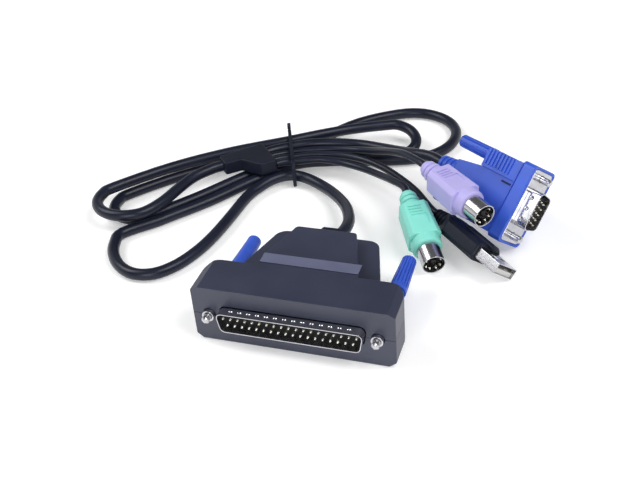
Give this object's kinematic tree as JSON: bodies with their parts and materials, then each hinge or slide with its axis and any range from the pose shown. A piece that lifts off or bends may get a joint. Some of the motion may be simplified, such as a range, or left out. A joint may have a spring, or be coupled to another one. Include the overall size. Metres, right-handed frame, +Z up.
{
  "type": "console cable module",
  "caption": "Dark console cable: wide screw-down pin module, tied cable hank, and video, keyboard, mouse and flat bus plugs on tails.",
  "frame": {"origin": "on the table, under the middle of the module's front bar", "axes": "+X along the wide connector, -Y out of the wide connector's face, +Z up"},
  "size_m": [0.1964, 0.1885, 0.0347],
  "materials": {
    "case": "fine-grained moulded plastic, dark navy grey",
    "label": "printed film, lavender grey, bare",
    "plating": "bright nickel plating",
    "steel": "zinc-plated steel",
    "black_plastic": "black moulded insulator",
    "white_plastic": "white moulded tongue",
    "contacts": "gold-flashed contacts",
    "blue_plastic": "satin blue moulding",
    "dark_overmould": "soft black-navy overmould",
    "lavender_overmould": "soft lavender overmould",
    "mint_overmould": "soft mint overmould",
    "wire_insulation": "thin wire insulation",
    "cable_jacket": "smooth dark navy jacket, soft sheen"
  },
  "bodies": {
    "module_and_cable": {"top_shell": "case", "bottom_shell": "case", "label_strip": "label", "connector_flange": "plating", "connector_back_shell": "steel", "connector_insulator": "black_plastic", "connector_pins": "contacts", "screw_ferrules": "plating", "cable_grommet": "dark_overmould", "cable_clamp": "steel", "clamp_screws": "steel", "case_screws": "steel", "cable_inner_end": "cable_jacket", "conductors": "wire_insulation", "main_lead": "cable_jacket", "cable_hank": "cable_jacket", "twist_tie": "dark_overmould", "cable_splitter": "dark_overmould", "vga_tail": "cable_jacket", "keyboard_tail": "cable_jacket", "mouse_tail": "cable_jacket", "usb_tail": "cable_jacket", "vga_hood": "blue_plastic", "vga_flange": "plating", "vga_insulator": "black_plastic", "vga_pins": "contacts", "keyboard_plug_grip": "lavender_overmould", "keyboard_plug_sleeve": "plating", "keyboard_plug_insulator": "black_plastic", "keyboard_plug_pins": "contacts", "mouse_plug_grip": "mint_overmould", "mouse_plug_sleeve": "plating", "mouse_plug_insulator": "black_plastic", "mouse_plug_pins": "contacts", "usb_plug_grip": "dark_overmould", "usb_plug_shell": "plating", "usb_plug_tongue": "white_plastic", "usb_plug_contacts": "contacts"},
    "left_screw_carriage": {"left_screw_clip": "steel"},
    "left_hand_screw": {"left_jackscrew": "steel", "left_knob": "blue_plastic"},
    "right_screw_carriage": {"right_screw_clip": "steel"},
    "right_hand_screw": {"right_jackscrew": "steel", "right_knob": "blue_plastic"},
    "vga_upper_carriage": {"vga_upper_clip": "steel"},
    "vga_upper_hand_screw": {"vga_upper_screw": "steel", "vga_upper_knob": "blue_plastic"},
    "vga_lower_carriage": {"vga_lower_clip": "steel"},
    "vga_lower_hand_screw": {"vga_lower_screw": "steel", "vga_lower_knob": "blue_plastic"}
  },
  "joints": [
    {"name": "left_screw_push", "type": "slide", "parent": "module_and_cable", "child": "left_screw_carriage", "axis": [0, -1, 0], "range_m": [-0.0024, 0.0022]},
    {"name": "left_screw_turn", "type": "hinge", "parent": "left_screw_carriage", "child": "left_hand_screw", "pos_m": [-0.03175, -0.002, 0.012], "axis": [0, -1, 0], "continuous": true},
    {"name": "right_screw_push", "type": "slide", "parent": "module_and_cable", "child": "right_screw_carriage", "axis": [0, -1, 0], "range_m": [-0.0024, 0.0022]},
    {"name": "right_screw_turn", "type": "hinge", "parent": "right_screw_carriage", "child": "right_hand_screw", "pos_m": [0.03175, -0.002, 0.012], "axis": [0, -1, 0], "continuous": true},
    {"name": "vga_upper_screw_pull", "type": "slide", "parent": "module_and_cable", "child": "vga_upper_carriage", "axis": [-0.8192, 0.5736, 0], "range_m": [0, 0.0025]},
    {"name": "vga_upper_screw_turn", "type": "hinge", "parent": "vga_upper_carriage", "child": "vga_upper_hand_screw", "pos_m": [0.06819, 0.08639, 0.02745], "axis": [0.8192, -0.5736, 0], "continuous": true},
    {"name": "vga_lower_screw_pull", "type": "slide", "parent": "module_and_cable", "child": "vga_lower_carriage", "axis": [-0.8192, 0.5736, 0], "range_m": [0, 0.0025]},
    {"name": "vga_lower_screw_turn", "type": "hinge", "parent": "vga_lower_carriage", "child": "vga_lower_hand_screw", "pos_m": [0.05936, 0.07379, 0.00775], "axis": [0.8192, -0.5736, 0], "continuous": true}
  ]
}
